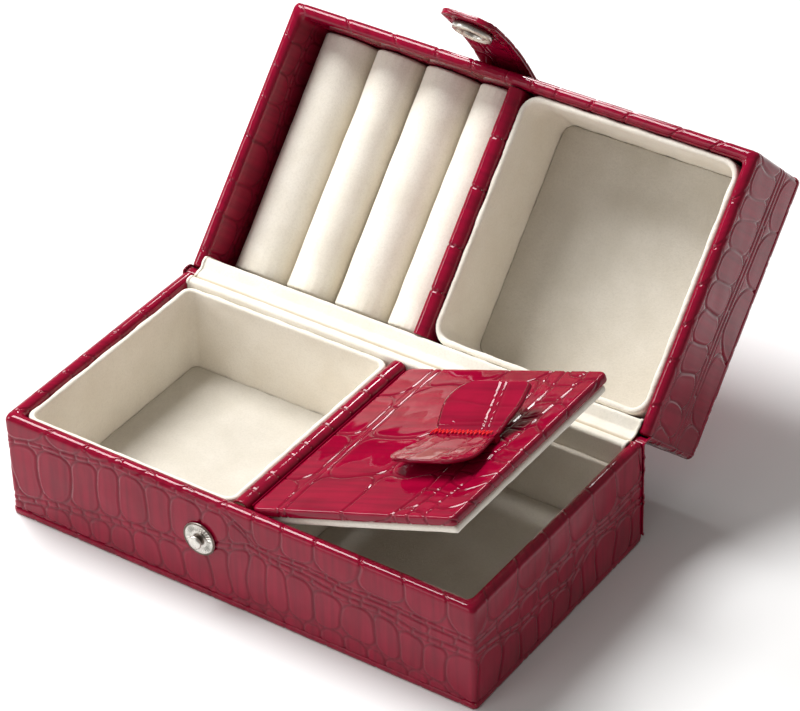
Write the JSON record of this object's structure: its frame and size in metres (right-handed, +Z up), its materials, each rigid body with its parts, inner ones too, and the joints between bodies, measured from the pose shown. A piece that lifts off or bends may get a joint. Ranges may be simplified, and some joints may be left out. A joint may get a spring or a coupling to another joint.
{
  "type": "leather jewellery case",
  "caption": "Hinged leather jewellery case with lined trays, ring rolls and a tray in the lid, an inner flap and a snap strap.",
  "frame": {"origin": "middle of the base's flat underside", "axes": "+X along the front to the right, +Y from the front to the hinge, +Z up, with the case standing open"},
  "size_m": [0.1608, 0.1752, 0.119],
  "materials": {
    "red_leather": "gloss",
    "velvet": "matte",
    "foam": "matte",
    "fibreboard": "matte",
    "card": "matte",
    "nickel": "gloss",
    "red_thread": "matte"
  },
  "bodies": {
    "base": {"base_front_board": "fibreboard", "base_back_board": "fibreboard", "base_left_board": "fibreboard", "base_right_board": "fibreboard", "base_floor_board": "fibreboard", "base_divider_board": "fibreboard", "base_foot_panel_board": "fibreboard", "base_leather_wrap": "red_leather", "base_back_leather": "red_leather", "base_hinge_lining": "velvet", "base_divider_cover": "red_leather", "base_foot_panel_cover": "red_leather", "left_tray_lining": "velvet", "left_tray_pad": "velvet", "right_tray_lining": "velvet", "right_tray_pad": "velvet", "snap_stud": "nickel", "snap_stud_rivet": "nickel"},
    "lid": {"lid_front_board": "card", "lid_back_board": "card", "lid_left_board": "card", "lid_right_board": "card", "lid_ceiling_board": "card", "lid_divider_board": "card", "lid_top_panel_board": "card", "lid_leather_wrap": "red_leather", "lid_back_leather": "red_leather", "lid_hinge_lining": "velvet", "lid_divider_cover": "red_leather", "lid_top_panel_cover": "red_leather", "roll_backing_card": "card", "ring_roll_cover_1": "velvet", "ring_roll_core_1": "foam", "ring_roll_cover_2": "velvet", "ring_roll_core_2": "foam", "ring_roll_cover_3": "velvet", "ring_roll_core_3": "foam", "ring_roll_cover_4": "velvet", "ring_roll_core_4": "foam", "lid_tray_lining": "velvet", "lid_tray_pad": "velvet", "strap_anchor": "red_leather"},
    "flap_hinge_leather": {"flap_hinge_strip": "red_leather"},
    "flap": {"flap_leather_cover": "red_leather", "flap_board": "card", "flap_padding": "foam", "flap_lining": "velvet", "tab_root": "red_leather", "tab_stitching": "red_thread"},
    "front_leaf": {"tab_front_leaf": "red_leather"},
    "back_leaf": {"tab_back_leaf": "red_leather"},
    "strap": {"strap_outer_leather": "red_leather", "strap_inner_leather": "red_leather", "snap_cap": "nickel", "snap_socket": "nickel"}
  },
  "joints": [
    {"name": "lid_hinge", "type": "hinge", "parent": "base", "child": "lid", "pos_m": [0, 0.0439, 0.03465], "axis": [-1, 0, 0], "range_deg": [-133, 0]},
    {"name": "flap_lift", "type": "hinge", "parent": "base", "child": "flap_hinge_leather", "pos_m": [0.0036, 0, 0.0339], "axis": [0, -1, 0], "range_deg": [-20.6, 0]},
    {"name": "flap_hinge", "type": "hinge", "parent": "flap_hinge_leather", "child": "flap", "pos_m": [0.0036, 0, 0.0339], "axis": [0, -1, 0], "range_deg": [0, 75]},
    {"name": "front_leaf_bend", "type": "hinge", "parent": "flap", "child": "front_leaf", "pos_m": [0.04959, -0.00295, 0.05364], "axis": [-0.9361, 0, -0.3518], "range_deg": [-6.5, 80], "stiffness_Nm_per_rad": 0.003},
    {"name": "back_leaf_bend", "type": "hinge", "parent": "flap", "child": "back_leaf", "pos_m": [0.04959, 0.00055, 0.05364], "axis": [0.9361, 0, 0.3518], "range_deg": [-21.5, 65], "stiffness_Nm_per_rad": 0.003},
    {"name": "strap_bend", "type": "hinge", "parent": "lid", "child": "strap", "pos_m": [-0.0108, 0.1148, 0.08951], "axis": [-1, 0, 0], "range_deg": [-5, 90], "stiffness_Nm_per_rad": 0.03}
  ],
  "couplings": [
    {"joint": "flap_lift", "follows": "lid_hinge", "ratio": 0.15489}
  ]
}
